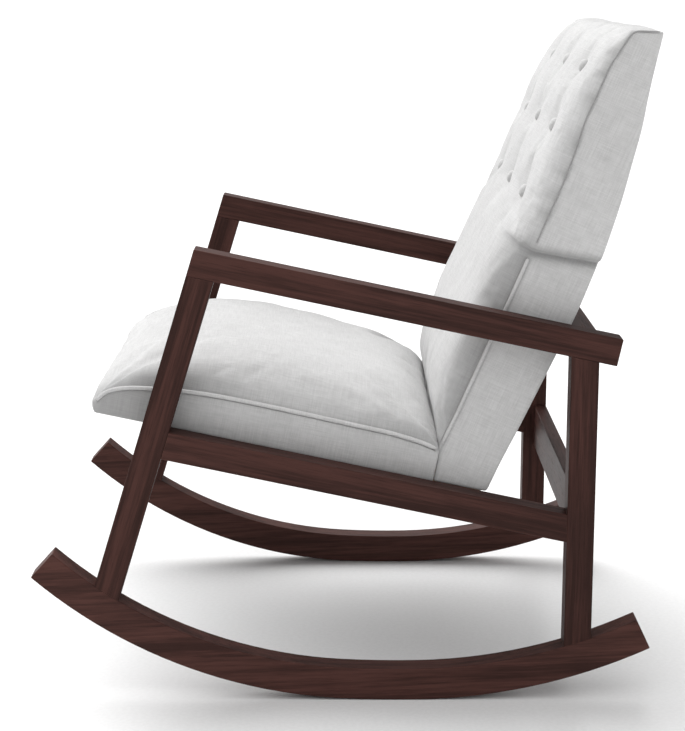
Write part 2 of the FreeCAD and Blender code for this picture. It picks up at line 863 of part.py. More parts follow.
def upright_corners():
    """An upright that stands on the seat frame, follows the rear face and thins to the top."""
    front = upright_front()
    return [
        ("dims.back_depth - 6 - dims.upright_depth", "10"),
        ("79", "16.5"),
        ("dims.back_depth - 5", "dims.back_knee"),
        ("dims.back_depth - 8", "dims.step_rear"),
        ("30", "624"),
        front[2],
        front[1],
    ]


def make_back_frame(holes):
    """Two uprights, three cross bars, the straps stretched over them and two steel brackets."""
    upright_left = "dims.frame_width / 2 - dims.frame_thickness"
    for side, x in (("left", upright_left), ("right", "-dims.frame_width / 2")):
        upright = extruded(f"upright_{side}", upright_corners(), "dims.frame_thickness")
        upright.Placement = BACK * Placement(Vector(number(x), 0, 0), Rotation())
        node(upright, f"back_upright_{side}")
    between = "dims.frame_width - 2 * dims.frame_thickness"
    start = f"-({between}) / 2"
    bars = {
        "bottom": ((between, 20, 45), (start, 28, 24)),
        "middle": ((between, 24, 56), (start, 61, 162)),
        "top": ((between, 17, 40), (start, 12, 580)),
    }
    for name, (size, corner) in bars.items():
        bar = box(f"back_bar_{name}", size, corner, BACK)
        node(cut(f"back_bar_{name}_drilled", bar, holes), f"back_{name}_bar")
    brackets = []
    inner = d("frame_width") / 2 - d("frame_thickness")
    size = ("dims.bracket_thickness", "dims.bracket_width", "dims.bracket_height")
    for side, x in (("left", inner - 0.1 - d("bracket_thickness")), ("right", -inner + 0.1)):
        brackets.append(box(f"bracket_{side}", size, (x, 50, -28), BACK))
    node(group("brackets", brackets), "back_brackets")


def make_webbing():
    """Straps stretched across the front of the uprights, one above another."""
    straps = []
    front, knee, tip = [Vector(0, number(y), number(z)) for y, z in upright_front()]
    for i, height in enumerate((110, 190, 270, 370, 450, 530)):
        base, top = (front, knee) if height < knee.z else (knee, tip)
        share = (height - base.z) / (top.z - base.z)
        place = base + (top - base) * share
        tilt = Rotation(Vector(0, 0, 1), top - base)
        size = ("dims.frame_width", "dims.strap_thickness", "dims.strap_width")
        strap = box(f"strap_{i}", size, (0, 0, 0))
        corner = Vector(-d("frame_width") / 2, -0.6 - d("strap_thickness"), -d("strap_width") / 2)
        strap.Placement = BACK * Placement(place, tilt) * Placement(corner, Rotation())
        straps.append(strap)
    node(group("straps", straps), "back_webbing")


def make_buttons():
    """Nine covered buttons in three rows of three on the front of the upper back."""
    buttons = []
    front = -d("back_bulge") - d("button_height") - 0.3
    way = BACK.Rotation.multVec(Vector(0, 1, 0))
    for row in range(3):
        for column in (-1, 0, 1):
            height = d("button_row") + row * d("button_rise")
            lift = 0.6 if row == 2 else 0
            place = Vector(column * d("button_spacing"), front + lift, height)
            name = f"button_{row}_{column + 1}"
            start = BACK.multVec(place)
            button = rod(name, "dims.button_diameter", "dims.button_height - 1", start, way)
            buttons.append(button)
    node(group("buttons", buttons), "back_buttons")


def make_wedges(holes):
    """Two hardwood wedges that fill the gap between the upper rail and the reclined back."""
    low = d("back_bolt_height") - d("wedge_height") / 2
    high = d("back_bolt_height") + d("wedge_height") / 2
    start = BACK.multVec(Vector(0, d("back_foot_rear"), d("back_heel_drop")))
    end = BACK.multVec(Vector(0, d("back_depth"), d("back_knee")))

    def rear_face(z):
        return start.y + (end.y - start.y) * (z - start.z) / (end.z - start.z) + 0.4

    wedges = []
    for i, bolt_x in enumerate((d("back_bolt_side"), -d("back_bolt_side"))):
        corners = [
            (rear_face(low), low),
            (f"{BACK_RAIL_FRONT} - 0.2", low),
            (f"{BACK_RAIL_FRONT} - 0.2", high),
            (rear_face(high), high),
        ]
        wedge = extruded(f"wedge_{i}", corners, "dims.wedge_width")
        wedge.Placement = Placement(Vector(bolt_x - d("wedge_width") / 2, 0, 0), Rotation())
        wedges.append(cut(f"wedge_{i}_drilled", wedge, holes))
    node(group("wedges", wedges), "back_spacer_wedges")


# ---------------------------------------------------------------- welts

def welt(name, points, x, frame):
    """A fabric-covered cord along straight runs and arcs, swept by its round section."""
    edges = []
    places = [Vector(x, y, z) for y, z in points]
    if len(places) == 3:
        edges.append(Part.Arc(*places).toShape())
    else:
        edges.append(Part.makeLine(*places[:2]))
        if len(places) > 2:
            edges.append(Part.Arc(*places[1:]).toShape())
    path = Part.Wire(edges)
    start = path.OrderedEdges[0].tangentAt(path.OrderedEdges[0].FirstParameter)
    section = Part.Wire(Part.makeCircle(d("welt_diameter") / 2, places[0], start))
    cord = doc.addObject("Part::Feature", name)
    cord.Shape = path.makePipeShell([section], True, True)
    cord.Placement = frame
    return cord


def make_welts():
    """The welts down both sides of the seat's top and of the back's front."""
    gap = d("welt_diameter") / 2 + 0.3
    for side, sign in SIDES.items():
        seat_x = sign * (d("seat_width") / 2 + gap)
        upper_x = sign * (d("upper_width") / 2 + gap)
        edge = d("seat_edge")
        seat_line = [(126, edge), (-220, edge), (-285, edge - 7), (-338, edge - 33)]
        lower_line = [(2, 14), (2, d("step_front") - 8)]
        upper_line = [(1, d("step_front") + 4), (-7, 470), (-4, 610)]
        node(welt(f"seat_welt_cord_{side}", seat_line, seat_x, SEAT), f"seat_welt_{side}")
        lower = welt(f"back_welt_lower_{side}", lower_line, seat_x, BACK)
        upper = welt(f"back_welt_upper_{side}", upper_line, upper_x, BACK)
        node(group(f"back_welt_cords_{side}", [lower, upper]), f"back_welt_{side}")


# ---------------------------------------------------------------- assembly

def make_chair():
    members = make_side_members()
    members.update(make_cross_members())
    dowels = make_dowels("dowels", members, "0")
    dowel_holes = make_dowels("dowel_holes", members, "dims.hole_clearance")
    bolts, washers, inserts, bolt_holes = make_bolts()
    drillings = group("drillings", [dowel_holes, bolt_holes])
    for name, member in members.items():
        node(cut(f"{name}_drilled", member, drillings), name)
    node(dowels, "frame_dowels")
    node(bolts, "mounting_bolts")
    node(washers, "bolt_washers")
    node(inserts, "threaded_inserts")
    make_seat_frame(bolt_holes)
    make_springs()
    make_seat_sheets(bolt_holes)
    make_seat_soft_parts()
    make_back_frame(bolt_holes)
    make_webbing()
    make_back_soft_parts(bolt_holes)
    make_buttons()
    make_wedges(bolt_holes)
    make_welts()


def check_document():
    """Stops if any object failed or any sub-part has no valid solid."""
    doc.recompute()
    failed = [o.Name for o in doc.Objects if "Invalid" in o.State or "Error" in o.State]
    if failed:
        raise RuntimeError(f"objects failed: {failed}")
    for thing in NODES:
        shape = thing.Shape
        if shape.isNull() or not shape.isValid() or not shape.Solids:
            raise RuntimeError(f"sub-part {thing.Label} has no valid solid")


def export_parts():
    """Writes one STEP file for each sub-part."""
    os.makedirs("parts", exist_ok=True)
    for thing in NODES:
        thing.Shape.exportStep(f"parts/{thing.Label}.step")
    print(f"{len(NODES)} sub-parts written")


make_chair()
check_document()
export_parts()
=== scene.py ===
import math

import bmesh
import bpy
import numpy as np
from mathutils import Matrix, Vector
from mathutils.bvhtree import BVHTree


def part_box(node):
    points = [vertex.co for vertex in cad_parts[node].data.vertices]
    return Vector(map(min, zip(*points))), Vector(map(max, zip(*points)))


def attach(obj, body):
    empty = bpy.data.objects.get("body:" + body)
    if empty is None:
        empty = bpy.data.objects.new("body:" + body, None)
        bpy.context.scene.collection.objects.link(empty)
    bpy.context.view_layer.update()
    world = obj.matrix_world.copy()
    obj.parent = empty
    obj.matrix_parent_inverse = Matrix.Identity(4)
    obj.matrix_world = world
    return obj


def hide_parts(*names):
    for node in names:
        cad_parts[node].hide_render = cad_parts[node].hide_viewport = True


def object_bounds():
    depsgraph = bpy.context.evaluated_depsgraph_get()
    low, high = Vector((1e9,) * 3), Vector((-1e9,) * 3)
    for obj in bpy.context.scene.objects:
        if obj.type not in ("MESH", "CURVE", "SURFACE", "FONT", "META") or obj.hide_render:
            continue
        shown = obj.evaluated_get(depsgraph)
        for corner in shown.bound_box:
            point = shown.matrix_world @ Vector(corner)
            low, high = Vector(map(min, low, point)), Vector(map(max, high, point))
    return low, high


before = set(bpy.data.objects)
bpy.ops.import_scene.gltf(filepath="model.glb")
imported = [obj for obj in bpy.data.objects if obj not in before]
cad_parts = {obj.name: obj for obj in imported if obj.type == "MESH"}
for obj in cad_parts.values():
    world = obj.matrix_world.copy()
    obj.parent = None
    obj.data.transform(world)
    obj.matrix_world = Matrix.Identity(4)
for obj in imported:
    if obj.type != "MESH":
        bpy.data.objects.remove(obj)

# Shapes are worked out in mm, and MM turns them to the scene's metres.
CAD_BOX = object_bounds()
MM = 0.001

# ------------------------------------------------------------------ places

SEAT_SLOPE = math.radians(12)
BACK_RECLINE = math.radians(23.5)
SEAT_ORIGIN = np.array([0, 0, 338.1])
BACK_ORIGIN = np.array([0, 137, 353.0])


def seat_half_width():
    """Half the width of the CAD's seat cover, in mm."""
    low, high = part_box("seat_cover")
    return (high.x - low.x) / 2 / MM


def tilted(origin, angle, x, along, up):
    """Points in mm given across, rearwards and upwards in a frame tilted back by angle."""
    x, along, up = np.broadcast_arrays(x, along, up)
    y = along * math.cos(angle) + up * math.sin(angle)
    z = up * math.cos(angle) - along * math.sin(angle)
    return np.stack([x, y, z], -1) + origin


def in_seat(x, u, v):
    """Points given across, rearwards along the seat and square to it."""
    return tilted(SEAT_ORIGIN, SEAT_SLOPE, x, u, v)


def in_back(x, t, s):
    """Points given across, rearwards square to the back rest and up along it."""
    return tilted(BACK_ORIGIN, BACK_RECLINE, x, t, s)


def curve(points, fraction):
    """A smooth line through points, at these fractions of its length."""
    points = np.array(points, float)
    fraction = np.clip(np.asarray(fraction, float), 0, 1)
    length = np.r_[0, np.cumsum(np.hypot(*np.diff(points, axis=0).T))]
    length /= length[-1]
    i = np.clip(np.searchsorted(length, fraction, side="right") - 1, 0, len(length) - 2)
    step = length[i + 1] - length[i]
    f = (fraction - length[i]) / step
    result = []
    for y in points.T:
        slope = np.gradient(y, length)
        start = (2 * f**3 - 3 * f**2 + 1) * y[i] + (f**3 - 2 * f**2 + f) * step * slope[i]
        end = (3 * f**2 - 2 * f**3) * y[i + 1] + (f**3 - f**2) * step * slope[i + 1]
        result.append(start + end)
    return np.stack(result, -1)


def ripple(points, wavelength, seed, directions=9):
    """Smooth wandering values of about -1 to 1 at points in mm."""
    rng = np.random.default_rng(seed)
    total = np.zeros(points.shape[:-1])
    for _ in range(directions):
        way = rng.normal(size=3)
        way *= 2 * math.pi / (wavelength * rng.uniform(0.7, 1.5)) / np.linalg.norm(way)
        total += np.sin(points @ way + rng.uniform(0, 2 * math.pi))
    return total / math.sqrt(directions)


# ------------------------------------------------------------------ meshes

def new_object(name, vertices, faces, smooth=True):
    """A mesh object from points in mm."""
    mesh = bpy.data.meshes.new(name)
    mesh.from_pydata((np.asarray(vertices) * MM).tolist(), [], [list(f) for f in faces])
    body = bmesh.new()
    body.from_mesh(mesh)
    bmesh.ops.recalc_face_normals(body, faces=body.faces)
    body.to_mesh(mesh)
    body.free()
    mesh.polygons.foreach_set("use_smooth", [smooth] * len(mesh.polygons))
    piece = bpy.data.objects.new(name, mesh)
    bpy.context.scene.collection.objects.link(piece)
    return piece


class Skin:
    """The closed skin of a lattice of points: quads over its six faces."""

    def __init__(self, points):
        self.points = points
        shape = points.shape[:3]
        i, j, k = np.indices(shape)
        at_end = [n % (count - 1) == 0 for n, count in zip((i, j, k), shape)]
        self.outer = at_end[0] | at_end[1] | at_end[2]
        self.number = np.full(shape, -1)
        self.number[self.outer] = np.arange(self.outer.sum())
        self.place = np.stack([i, j, k], -1)[self.outer]
        self.vertices = points[self.outer]

    def faces(self):
        """The quads of all six faces, as numbers of vertices."""
        quads = []
        for side in (self.number[0], self.number[-1], self.number[:, 0], self.number[:, -1],
                     self.number[:, :, 0], self.number[:, :, -1]):
            ring = np.stack([side[:-1, :-1], side[1:, :-1], side[1:, 1:], side[:-1, 1:]], -1)
            quads.extend(ring.reshape(-1, 4).tolist())
        return quads


def columns(count, crowding=0.35):
    """Places across the width from -1 to 1, closer together near the sides."""
    even = np.linspace(-1, 1, count + 1)
    return (1 - crowding) * even + crowding * np.sin(even * math.pi / 2)


def fullness(across, flat, shoulder):
    """How much of the middle's crown a place across the width has."""
    return (1 - np.abs(across) ** flat) ** (1 / shoulder)


def inflate(piece, held, cap, pressure, slack, frames=20):
    """Cloth with air behind it, held at some vertices. No point moves further than cap mm."""
    mesh = piece.data
    start = np.array([v.co for v in mesh.vertices])
    group = piece.vertex_groups.new(name="held")
    group.add(np.flatnonzero(held).tolist(), 1.0, "REPLACE")
    cloth = piece.modifiers.new("Cloth", "CLOTH")
    settings = cloth.settings
    settings.quality = 5
    settings.mass = 0.25
    settings.tension_stiffness = 30
    settings.compression_stiffness = 12
    settings.shear_stiffness = 8
    settings.bending_stiffness = 0.4
    settings.use_pressure = True
    settings.uniform_pressure_force = pressure
    settings.shrink_min = -slack
    settings.vertex_group_mass = "held"
    settings.effector_weights.gravity = 0
    cloth.collision_settings.use_collision = False
    cloth.point_cache.frame_start = 1
    cloth.point_cache.frame_end = frames
    for step in range(1, frames + 1):
        bpy.context.scene.frame_set(step)
    shaped = piece.evaluated_get(bpy.context.evaluated_depsgraph_get()).data
    end = np.array([v.co for v in shaped.vertices])
    piece.modifiers.remove(cloth)
    piece.vertex_groups.remove(group)
    bpy.context.scene.frame_set(1)
    move = end - start
    size = np.linalg.norm(move, axis=1, keepdims=True)
    limited = cap * MM * np.tanh(size / (cap * MM))
    mesh.vertices.foreach_set("co", (start + move * limited / np.maximum(size, 1e-9)).ravel())
    mesh.update()
    print(piece.name, "moved up to %.1f mm" % (size.max() / MM))


def subdivide(piece):
    """Smooths a piece by one level of subdivision, which becomes its own mesh."""
    modifier = piece.modifiers.new("Smooth", "SUBSURF")
    modifier.levels = modifier.render_levels = 1
    modifier.boundary_smooth = "PRESERVE_CORNERS"
    shaped = piece.evaluated_get(bpy.context.evaluated_depsgraph_get())
    mesh = bpy.data.meshes.new_from_object(shaped)
    piece.modifiers.clear()
    old = piece.data
    piece.data = mesh
    bpy.data.meshes.remove(old)
    mesh.name = piece.name
    mesh.polygons.foreach_set("use_smooth", [True] * len(mesh.polygons))


CORD_END, CORD_NEAR_END = 0.55, 0.9


def tube(name, path, radius, sides=10):
    """A cord along a path in mm, with ends that close to a blunt point."""
    path = np.asarray(path, float)
    along = np.gradient(path, axis=0)
    along /= np.linalg.norm(along, axis=1, keepdims=True)
    side = np.cross(along, [0.31, 0.2, 1.0])
    side /= np.linalg.norm(side, axis=1, keepdims=True)
    up = np.cross(along, side)
    turn = np.linspace(0, 2 * math.pi, sides, endpoint=False)
    thickness = np.full(len(path), float(radius))
    thickness[[0, -1]] *= CORD_END
    thickness[[1, -2]] *= CORD_NEAR_END
    ring = np.cos(turn)[None, :, None] * side[:, None] + np.sin(turn)[None, :, None] * up[:, None]
    points = (path[:, None] + ring * thickness[:, None, None]).reshape(-1, 3)
    faces = []
    for i in range(len(path) - 1):
        for j in range(sides):
            k = (j + 1) % sides
            faces.append((i * sides + j, i * sides + k, (i + 1) * sides + k, (i + 1) * sides + j))
    faces.append(tuple(range(sides)))
    faces.append(tuple((len(path) - 1) * sides + j for j in range(sides)))
    return new_object(name, points, faces)


def join(name, pieces):
    """One object from several meshes."""
    body = bmesh.new()
    for piece in pieces:
        body.from_mesh(piece.data)
        bpy.data.objects.remove(piece)
    mesh = bpy.data.meshes.new(name)
    body.to_mesh(mesh)
    body.free()
    mesh.polygons.foreach_set("use_smooth", [True] * len(mesh.polygons))
    joined = bpy.data.objects.new(name, mesh)
    bpy.context.scene.collection.objects.link(joined)
    return joined


# ------------------------------------------------------------------ seat

# Lines are given in the seat's own frame, rearwards and square to it. A row of the lattice
# is about SEAT_ROW mm long over the fabric.
SEAT_ROWS, SEAT_COLUMNS, SEAT_LAYERS = 88, 84, 8
SEAT_ROW = 6.2
SEAT_REAR, SEAT_FRONT, SEAT_BOTTOM = 131.5, -350, -4
SEAT_SIDE_HEIGHT = 60
SEAT_SIDE_BELLY = 2.5
NOSE_BELLY = 9
SEAT_EDGE = [
    (131, 43), (110, 48), (72, 52.5), (1, 54.3), (-70, 55.4), (-141, 55.8), (-211, 54),
    (-250, 50.3), (-276, 47), (-294, 44.2), (-310, 40.8), (-321, 37.6), (-332, 33),
    (-342.5, 25), (-349, 15),
]
SEAT_MIDDLE = [
    (129, 46), (127.5, 58), (123, 70), (115, 80), (98, 88), (68, 93), (0, 97), (-60, 100.5),
    (-120, 102.5), (-175, 101.5), (-215, 97.5), (-254, 90), (-288, 80), (-316, 67.5),
    (-336, 53), (-348, 38), (-356, 20),
]


def seat_lattice():
    """The seat as a lattice of points: from rear to front, across, and from bottom to crown."""
    across = columns(SEAT_COLUMNS)
    part = np.linspace(0, 1, SEAT_ROWS + 1)
    edge, middle = curve(SEAT_EDGE, part), curve(SEAT_MIDDLE, part)
    along = SEAT_REAR + (SEAT_FRONT - SEAT_REAR) * part
    bottom = np.stack([along, np.full(SEAT_ROWS + 1, SEAT_BOTTOM)], -1)
    height = np.linspace(0, 1, SEAT_LAYERS + 1)[None, None, :, None]
    full = fullness(across, 5, 3)[None, :, None, None]
    top = edge[:, None, None] * (1 - full) + middle[:, None, None] * full
    side = bottom[:, None, None] * (1 - height) + top * height
    belly = np.sin(height[..., 0] * math.pi)
    nose = np.clip((part - 0.9) / 0.1, 0, 1)[:, None, None] ** 2
    u = side[..., 0] - NOSE_BELLY * belly * nose * full[..., 0]
    at_side = (np.abs(across) == 1)[None, :, None]
    tall = (top[..., 1] - SEAT_BOTTOM) / SEAT_SIDE_HEIGHT
    x = across[None, :, None] * seat_half_width()
    x = x + np.sign(x) * at_side * SEAT_SIDE_BELLY * belly * tall
    return in_seat(x, u, side[..., 1])


def make_seat_cushion():
    """One panel from the rear crease over the crown and down the nose, between two side panels."""
    skin = Skin(seat_lattice())
    piece = new_object("seat_cushion", skin.vertices, skin.faces())
    i, j, k = skin.place.T
    held = ((k == 0) | (i == 0) | (j == 0) | (j == SEAT_COLUMNS)).astype(float)
    inflate(piece, held, cap=9, pressure=2.5, slack=0.006)
    along = skin.vertices[:, 1]
    away = from_seams(skin, SEAT_LAYERS)[i, j]
    on_top = k == SEAT_LAYERS
    puckers = np.where(on_top & (held == 0), gathers(along, away, depth=1.3, spacing=46), 0)
    settle_folds(piece, held, amount=0.9, seed=4, puckers=puckers)
    # Painted shade: darker over the rounded shoulders beside the seams, most at the nose, near the
    # rear crease, and on the side panels towards the front.
    nose = np.clip((i / SEAT_ROWS - 0.5) / 0.35, 0, 1)
    painted_top_shade = np.exp(-(away / (28 + 20 * nose)) ** 2) * (0.32 + 0.9 * nose)
    painted_top_shade += 0.4 * np.exp(-(i * SEAT_ROW / 120) ** 2)
    painted_side_shade = 0.22 + 0.62 * np.clip((i / SEAT_ROWS - 0.6) / 0.25, 0, 1)
    paint_shade(piece, np.where(on_top, painted_top_shade, painted_side_shade))
    subdivide(piece)
    return piece, skin


def from_seams(skin, layer):
    """Distance over the fabric from each point of a panel to the nearer of its two side seams."""
    steps = np.linalg.norm(np.diff(skin.points[:, :, layer], axis=1), axis=-1)
    left = np.pad(np.cumsum(steps, axis=1), ((0, 0), (1, 0)))
    return np.minimum(left, left[:, -1:] - left)


def paint_shade(piece, amount):
    """Stores painted shade at each point, from 0 to 1, which darkens the colour of the fabric."""
    painted_shade = piece.data.attributes.new("painted_shade", "FLOAT", "POINT")
    painted_shade.data.foreach_set("value", np.clip(amount, 0, 1).astype(np.float32))


def gathers(along, away, depth, spacing):
    """Puckers beside a seam: deeper pulls at a loose spacing, and small ones between them."""
    pull = 0.55 + 0.45 * np.sin(2 * math.pi * along / spacing + 1.3 * np.sin(along / 37))
    small = 0.25 * np.sin(2 * math.pi * along / (spacing * 0.31) + np.sin(along / 23))
    return depth * (pull * np.exp(-away / 15) + small * np.exp(-away / 24))


def settle_folds(piece, held, amount, seed, puckers):
    """Fine unevenness of hand-fitted fabric where it isn't held, and puckers at the seams."""
    mesh = piece.data
    place = np.array([v.co for v in mesh.vertices]) / MM
    normal = np.array([v.normal for v in mesh.vertices])
    wave = ripple(place, 62, seed) * 0.6 + ripple(place, 27, seed + 1) * 0.25
    shift = amount * wave * (1 - held) - puckers
    mesh.vertices.foreach_set("co", ((place + normal * shift[:, None]) * MM).ravel())
    mesh.update()


# ------------------------------------------------------------------ back rest

# Lines are given in the back's own frame, rearwards and upwards. The lower part fits between
# the arms. Above the step the sides stand out by STEP mm, over the arms. LEDGE is the step at
# the side seam: upwards from STEP_HEIGHT, and outwards.
BACK_COLUMNS, BACK_LAYERS = 90, 13
LOWER_ROWS, UPPER_ROWS = 55, 49
FOOT_ROWS = 8
STEP = 14.5
STEP_HEIGHT = 310
TOP_BELLY = 4
LOWER_EDGE = [
    (9.3, -44.5), (4.2, -22.7), (0, 0), (0, 60), (0, 150), (0, 245), (-0.5, STEP_HEIGHT),
]
UPPER_EDGE = [
    (-0.5, STEP_HEIGHT), (-1.5, 334), (-2.2, 360), (-2, 397), (-5.7, 453), (-10.7, 495),
    (-10.4, 542), (-11.3, 574), (-7, 597), (-3.2, 626),
]
LOWER_MIDDLE = [
    (9.3, -44.5), (4.4, -22), (-0.2, 1), (-3.6, 14.5), (-9.6, 26), (-17.5, 36), (-26, 48),
    (-34, 78), (-38, 120), (-40.5, 170), (-40, 232), (-38, STEP_HEIGHT),
]
UPPER_MIDDLE = [
    (-38, STEP_HEIGHT), (-37, 348), (-36, 400), (-36.5, 450), (-36, 520), (-33, 560),
    (-27, 590), (-17, 613), (-4.5, 628),
]
LOWER_REAR = [
    (84.3, -28.5), (85, 17), (88, 78), (90, 138), (91.5, 186), (93, 258), (91.5, 300),
    (90, 332),
]
UPPER_REAR = [
    (90, 332), (86, 372), (80.5, 417), (72.5, 465), (63, 519), (54.5, 553), (43.5, 603),
    (38, 631), (36, 641),
]
LEDGE_REACH = 12
LEDGE = [
    (-16, 0), (-10, -1.5), (-6.5, -3.5), (-5, -3), (-4, 1), (-3, 6), (-1, 10.5), (3, 13.5),
    (10, STEP),
]
STEP_ROWS = LOWER_ROWS + len(LEDGE)
LOWER_LENGTH, UPPER_LENGTH = 355, 320
TUFTS = [(x, s) for x in (-175, 0, 175) for s in (369, 470, 560)]
TUFT_DEPTH = 9
TUFT_HELD = 7


def two_part(lower, upper, height):
    """A line in two parts: height runs from 0 to 1 along the lower and on to 2 along the upper."""
    below = curve(lower, height)
    above = curve(upper, height - 1)
    return np.where((height < 1)[:, None], below, above)


def back_rows():
    """Heights of the rows at the sides and in the middle, and how far each row is widened."""
    reach = LEDGE_REACH
    lower = np.linspace(0, 1 - reach / LOWER_LENGTH, LOWER_ROWS + 1)[:-1]
    upper = np.linspace(1 + reach / UPPER_LENGTH, 2, UPPER_ROWS + 1)[1:]
    drop = np.array([ds for ds, _ in LEDGE], float)
    even = np.linspace(-reach, reach, len(LEDGE))
    scale = np.where(drop < 0, LOWER_LENGTH, UPPER_LENGTH)
    even_scale = np.where(even < 0, LOWER_LENGTH, UPPER_LENGTH)
    at_side = np.r_[lower, 1 + drop / scale, upper]
    at_middle = np.r_[lower, 1 + even / even_scale, upper]
    narrow, wide = np.zeros(LOWER_ROWS), np.full(UPPER_ROWS, STEP)
    wide_side = np.r_[narrow, [dx for _, dx in LEDGE], wide]
    smooth = (1 - np.cos(np.linspace(0, math.pi, len(LEDGE)))) / 2 * STEP
    wide_middle = np.r_[narrow, smooth, wide]
    return at_side, at_middle, wide_side, wide_middle


def tuft_depth(x, s):
    """How far the front is drawn in at and around the nine buttons."""
    depth = np.zeros(np.broadcast(x, s).shape)
    for tx, ts in TUFTS:
        away = np.hypot((x - tx) / 2.2, s - ts)
        depth = np.maximum(depth, TUFT_DEPTH * np.exp(-(away / 19) ** 1.25))
    return depth


def back_lattice():
    """The back rest as a lattice of x, t and s: upwards, across, and from rear to front."""
    at_side, at_middle, wide_side, wide_middle = back_rows()
    across = columns(BACK_COLUMNS)
    full = fullness(across, 4, 3)[None, :, None]
    edge = two_part(LOWER_EDGE, UPPER_EDGE, at_side)[:, None]
    middle = two_part(LOWER_MIDDLE, UPPER_MIDDLE, at_middle)[:, None]
    rear_side = two_part(LOWER_REAR, UPPER_REAR, at_side)[:, None]
    rear_middle = two_part(LOWER_REAR, UPPER_REAR, at_middle)[:, None]
    front = edge * (1 - full) + middle * full
    rear = rear_side * (1 - full) + rear_middle * full
    depth = np.linspace(0, 1, BACK_LAYERS + 1)[None, None, :, None]
    side = rear[:, :, None] * (1 - depth) + front[:, :, None] * depth
    t, s = side[..., 0], side[..., 1]
    widened = wide_side[:, None] * (1 - full[..., 0]) + wide_middle[:, None] * full[..., 0]
    x = (seat_half_width() + widened) * across[None, :]
    x = np.broadcast_to(x[:, :, None], t.shape).copy()
    belly = np.sin(depth[..., 0] * math.pi)
    upper_part = np.clip((at_side - 1.03) / 0.06, 0, 1)[:, None, None]
    at_edge = (np.abs(across) == 1)[None, :, None]
    x += np.sign(across)[None, :, None] * at_edge * belly * (1.2 + 2.8 * upper_part)
    top = (np.arange(len(at_side)) == len(at_side) - 1)[:, None, None]
    s = s + top * belly * TOP_BELLY * full
    front_layer = (np.arange(BACK_LAYERS + 1) == BACK_LAYERS)[None, None, :]
    t = t + front_layer * tuft_depth(x, s)
    return x, t, s


def make_back_cushion():
    """A front panel with nine buttons, side panels with a step over the arms, a plain rear."""
    x, t, s = back_lattice()
    skin = Skin(in_back(x, t, s))
    piece = new_object("back_cushion", skin.vertices, skin.faces())
    i, j, k = skin.place.T
    across, up = x[skin.outer], s[skin.outer]
    at_side = (j == 0) | (j == BACK_COLUMNS)
    held = ((k == 0) | (i == 0) | at_side).astype(float)
    for tx, ts in TUFTS:
        held[(k == BACK_LAYERS) & (np.hypot(across - tx, up - ts) < TUFT_HELD)] = 1
    inflate(piece, held, cap=6, pressure=2.5, slack=0.012)
    away = from_seams(skin, BACK_LAYERS)[i, j]
    in_front = (k == BACK_LAYERS) & (i > FOOT_ROWS)
    from_seam = np.where(in_front, away, (BACK_LAYERS - k) * 7.0)
    beside = in_front | (at_side & (i > STEP_ROWS))
    depth = np.where(up > STEP_HEIGHT + 7, 3.0, 1.2)
    puckers = np.where(beside, gathers(up, from_seam, depth, spacing=57), 0)
    settle_folds(piece, held, amount=0.9, seed=9, puckers=puckers)
    paint_back_shade(piece, skin, up, away, in_front)
    subdivide(piece)
    return piece, skin


def paint_back_shade(piece, skin, up, away, in_front):
    """Painted shade under the step, beside the lower side seams and in the pulls of the upper ones,
    and a little everywhere off the front panel.
    """
    i, j, k = skin.place.T
    in_from_side = np.where(k == 0, from_seams(skin, 0)[i, j], np.where(in_front, away, 0))
    below_step = (1 - back_rows()[0][i]) * LOWER_LENGTH
    painted_step_shadow = np.exp(-((below_step - 5) / 11) ** 2 - (in_from_side / 32) ** 2)
    painted_seam_shade = np.where(up < STEP_HEIGHT, 0.8 * np.exp(-(away / 56) ** 2), 0)
    pull = 0.2 + 0.45 * np.sin(up / 13 + np.sin(up / 31)) ** 4
    painted_pull_shade = np.where(up < STEP_HEIGHT, 0, pull * np.exp(-(away / 22) ** 2))
    painted_panel_shade = np.where(k == BACK_LAYERS, painted_seam_shade + painted_pull_shade, 0.06)
    paint_shade(piece, np.maximum(painted_step_shadow, painted_panel_shade))


# ------------------------------------------------------------------ trim

SEAT_DOWN = in_seat(0, 0, -1) - in_seat(0, 0, 0)
BACK_FORWARD = in_back(0, -1, 0) - in_back(0, 0, 0)
SEAT_PIPING, BACK_PIPING = 2.9, 2.6
SEAT_SHADOW_CORD, LOWER_SHADOW_CORD, UPPER_SHADOW_CORD = 1.0, 0.9, 1.2
BUTTON_PROFILE = [
    (0, 8.8), (3, 8.6), (5.6, 7.8), (7.8, 6.3), (9.2, 4.2), (9.8, 1.8), (9.6, -0.8),
    (8.6, -2.6), (6, -3.4), (0, -3.4),
]
BUTTON_SEGMENTS = 28
BUTTON_SUNK = 0.2


def rounded(path, times=6):
    """A path with its corners taken off and its ends left where they are."""
    path = path.copy()
    for _ in range(times):
        path[1:-1] = (path[:-2] + 2 * path[1:-1] + path[2:]) / 4
    return path


